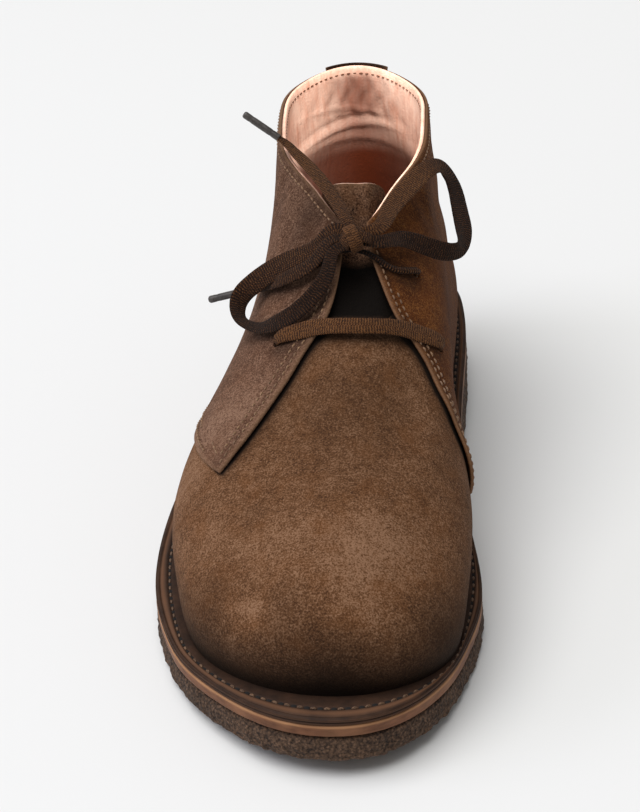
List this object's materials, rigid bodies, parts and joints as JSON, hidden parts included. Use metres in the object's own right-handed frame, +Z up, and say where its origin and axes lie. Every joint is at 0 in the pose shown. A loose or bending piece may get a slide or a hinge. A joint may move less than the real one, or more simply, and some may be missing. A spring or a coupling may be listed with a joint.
{
  "type": "desert boot",
  "caption": "Ankle-high desert boot in suede with a stitched welt, a crepe rubber sole and a flat lace tied in a bow over a loose tongue; open at the collar and hollow inside.",
  "frame": {"origin": "on the floor under the middle of the outsole, halfway between its widest points and halfway along its length", "axes": "+Y towards the heel, -Y towards the toe, +Z up, +X towards the inner (medial) side of the foot, -X towards the outer (lateral) side"},
  "size_m": [0.1136, 0.3, 0.1331],
  "materials": {
    "suede": "matte suede nap",
    "suede_dark": "matte suede nap",
    "lining": "satin leather",
    "crepe": "rough crepe",
    "midsole_tan": "matte",
    "welt_brown": "waxed",
    "lace_brown": "flat woven",
    "tip_grey": "satin"
  },
  "bodies": {
    "root": {"outsole": "crepe", "heel": "crepe", "midsole": "midsole_tan", "welt": "welt_brown", "insole": "lining", "upper": "suede", "quarter_lateral": "suede", "quarter_medial": "suede", "backstay": "suede_dark", "tongue": "suede", "lace_bar_lower": "lace_brown", "lace_bar_upper": "lace_brown", "lace_knot": "lace_brown", "lace_loop_lateral": "lace_brown", "lace_loop_medial": "lace_brown", "lace_end_upper": "lace_brown", "lace_end_lateral": "lace_brown", "tip_upper": "tip_grey", "tip_lateral": "tip_grey"}
  },
  "joints": []
}
